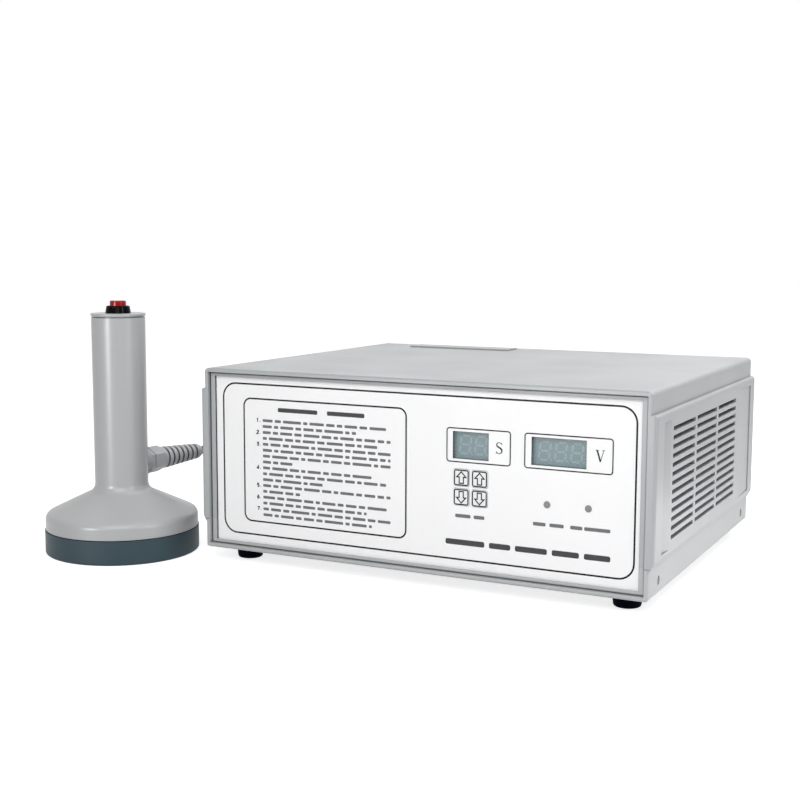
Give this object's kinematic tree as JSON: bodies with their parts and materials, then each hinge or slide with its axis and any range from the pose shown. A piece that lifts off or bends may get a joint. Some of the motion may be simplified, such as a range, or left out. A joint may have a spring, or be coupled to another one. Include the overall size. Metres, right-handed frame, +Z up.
{
  "type": "induction cap sealer",
  "caption": "Hand-held induction cap sealer: a grey instrument case with a timer panel and a round sealing head with a trigger handle, joined by a coiled lead.",
  "frame": {"origin": "middle of the footprint of case and head together, at the standing surface", "axes": "+X to the right as seen from the front, +Y from the front panel to the rear, +Z up"},
  "size_m": [0.501, 0.446, 0.2012],
  "materials": {
    "shell": "fine moulded texture, light grey",
    "foot_rubber": "black rubber",
    "steel": "zinc plated",
    "panel": "matt white printed film",
    "window": "tinted clear pane",
    "display": "unlit digit display",
    "lamp": "unlit lens",
    "black_plastic": "moulded black",
    "black_gloss": "glossy black",
    "circuit_board": "green solder mask",
    "wire": "bright plated",
    "gland": "moulded grey nylon",
    "aluminium": "extruded",
    "winding": "enamelled copper wire",
    "ferrite": "sintered, dull",
    "head_shell": "satin moulded grey",
    "head_base": "satin slate blue-grey",
    "button_red": "glossy red",
    "lead": "dark grey sheath"
  },
  "bodies": {
    "sealer": {"top_cover": "shell", "bottom_tray": "shell", "feet": "foot_rubber", "foot_screws": "steel", "side_screws": "steel", "front_panel": "panel", "panel_film": "panel", "time_window": "window", "volt_window": "window", "time_display": "display", "volt_display": "display", "key_switches": "black_plastic", "heat_lamp": "lamp", "current_lamp": "lamp", "display_board": "circuit_board", "board_spacers": "steel", "alarm_buzzer": "black_plastic", "rear_panel": "shell", "fan_frame": "black_plastic", "fan_guard": "wire", "fan_screws": "steel", "switch_frame": "black_plastic", "mains_inlet": "black_plastic", "inlet_pins": "wire", "inlet_screws": "steel", "fuse_holder": "black_plastic", "rear_gland_body": "gland", "rear_gland_nut": "gland", "rear_gland_locknut": "gland", "power_board": "circuit_board", "power_screws": "steel", "heat_sink": "aluminium", "power_transistors": "black_plastic", "bus_capacitors": "black_plastic", "matching_transformer": "winding", "head_housing": "head_shell", "head_base": "head_base", "induction_coil": "winding", "coil_carrier": "circuit_board", "ferrite_bars": "ferrite", "handle_cap": "head_shell", "button_bezel": "black_gloss", "button_locknut": "steel", "head_gland_body": "gland", "head_gland_nut": "gland", "head_lead": "lead", "lead_coil": "lead", "lead_tail": "lead", "lead_tie": "black_plastic"},
    "trigger": {"trigger_button": "button_red"},
    "tens_up_key": {"key_tens_up": "panel"},
    "units_up_key": {"key_units_up": "panel"},
    "tens_down_key": {"key_tens_down": "panel"},
    "units_down_key": {"key_units_down": "panel"},
    "rocker": {"power_rocker": "black_plastic"},
    "fan": {"fan_rotor": "black_plastic"},
    "fuse_plug": {"fuse_cap": "black_plastic", "fuse_link": "wire"}
  },
  "joints": [
    {"name": "trigger_press", "type": "slide", "parent": "sealer", "child": "trigger", "axis": [0, 0, -1], "range_m": [0, 0.002], "stiffness_N_per_m": 1200, "springref_m": -0.001},
    {"name": "tens_up_press", "type": "slide", "parent": "sealer", "child": "tens_up_key", "axis": [0, 1, 0], "range_m": [0, 0.0005], "stiffness_N_per_m": 1500, "springref_m": -0.0005},
    {"name": "units_up_press", "type": "slide", "parent": "sealer", "child": "units_up_key", "axis": [0, 1, 0], "range_m": [0, 0.0005], "stiffness_N_per_m": 1500, "springref_m": -0.0005},
    {"name": "tens_down_press", "type": "slide", "parent": "sealer", "child": "tens_down_key", "axis": [0, 1, 0], "range_m": [0, 0.0005], "stiffness_N_per_m": 1500, "springref_m": -0.0005},
    {"name": "units_down_press", "type": "slide", "parent": "sealer", "child": "units_down_key", "axis": [0, 1, 0], "range_m": [0, 0.0005], "stiffness_N_per_m": 1500, "springref_m": -0.0005},
    {"name": "rocker_tilt", "type": "hinge", "parent": "sealer", "child": "rocker", "pos_m": [0.19575, 0.167, 0.0735], "axis": [1, 0, 0], "range_deg": [0, 18]},
    {"name": "fan_spin", "type": "hinge", "parent": "sealer", "child": "fan", "pos_m": [0.06575, 0.155, 0.0815], "axis": [0, 1, 0], "continuous": true},
    {"name": "fuse_turn", "type": "hinge", "parent": "sealer", "child": "fuse_plug", "pos_m": [0.15075, 0.1725, 0.1135], "axis": [0, 1, 0], "range_deg": [0, 45]}
  ]
}
